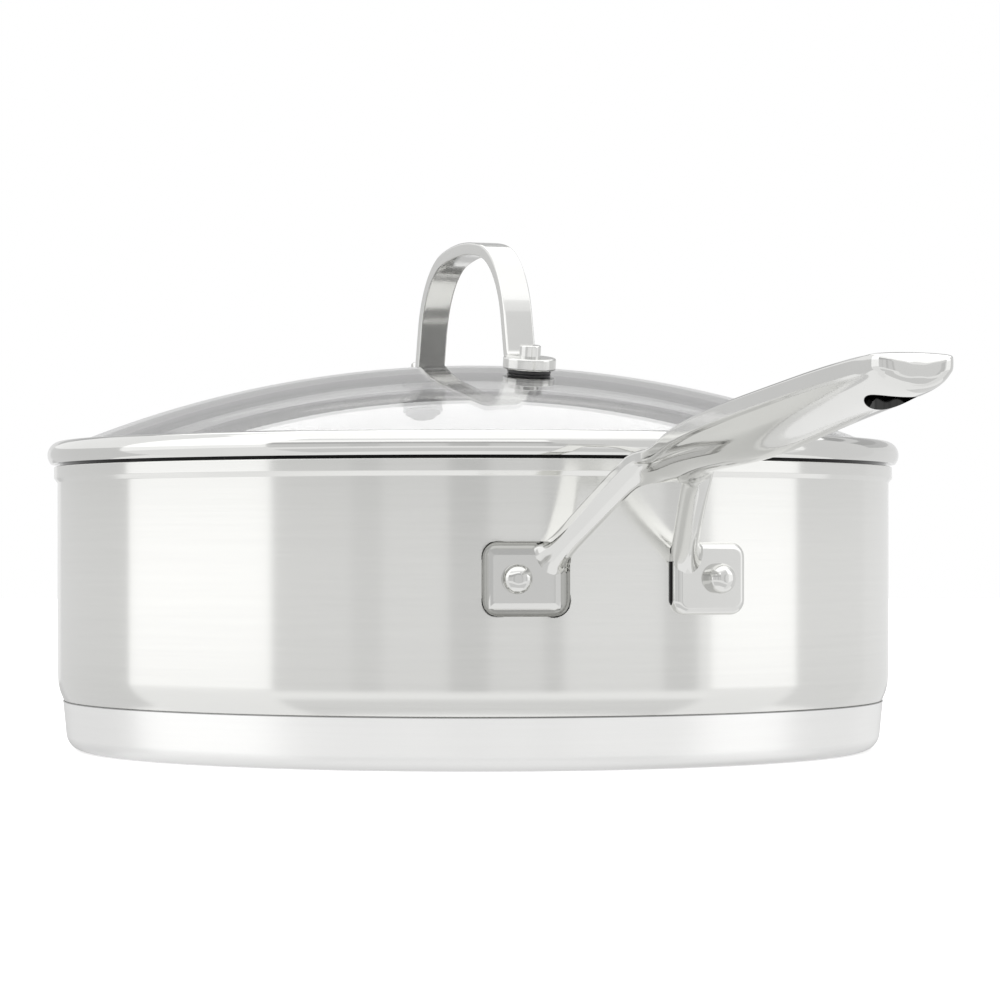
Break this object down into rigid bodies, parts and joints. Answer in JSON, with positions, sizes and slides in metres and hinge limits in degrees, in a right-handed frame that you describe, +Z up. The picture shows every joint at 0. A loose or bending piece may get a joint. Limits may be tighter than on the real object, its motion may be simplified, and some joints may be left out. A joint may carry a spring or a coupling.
{
  "type": "saute pan with lid",
  "caption": "Straight-walled steel saute pan with a thick bonded base, a forked riveted long handle and a lift-off domed glass lid with a steel rim and strap handle.",
  "frame": {"origin": "centre of the flat underside of the base", "axes": "+Z up along the pan's axis; the long handle points along +X; the XZ plane is the plane of symmetry"},
  "size_m": [0.4206, 0.2478, 0.1475],
  "materials": {
    "brushed_steel": "fine brushed, bright",
    "satin_steel": "satin",
    "polished_steel": "mirror polished",
    "aluminium_core": "plain",
    "clear_glass": "clear, polished",
    "black_silicone": "matt"
  },
  "bodies": {
    "pan": {"pan_body": "brushed_steel", "base_core": "aluminium_core", "base_cap": "satin_steel", "long_handle": "polished_steel", "handle_rivet_left": "polished_steel", "handle_rivet_right": "polished_steel"},
    "lid": {"lid_glass": "clear_glass", "lid_rim": "polished_steel", "lid_handle": "polished_steel", "lid_rivet_front": "polished_steel", "lid_upper_gasket_front": "black_silicone", "lid_lower_gasket_front": "black_silicone", "lid_washer_front": "polished_steel", "lid_rivet_back": "polished_steel", "lid_upper_gasket_back": "black_silicone", "lid_lower_gasket_back": "black_silicone", "lid_washer_back": "polished_steel"}
  },
  "joints": [
    {"name": "lid_lift", "type": "slide", "parent": "pan", "child": "lid", "axis": [0, 0, 1], "range_m": [0, 0.12]}
  ]
}
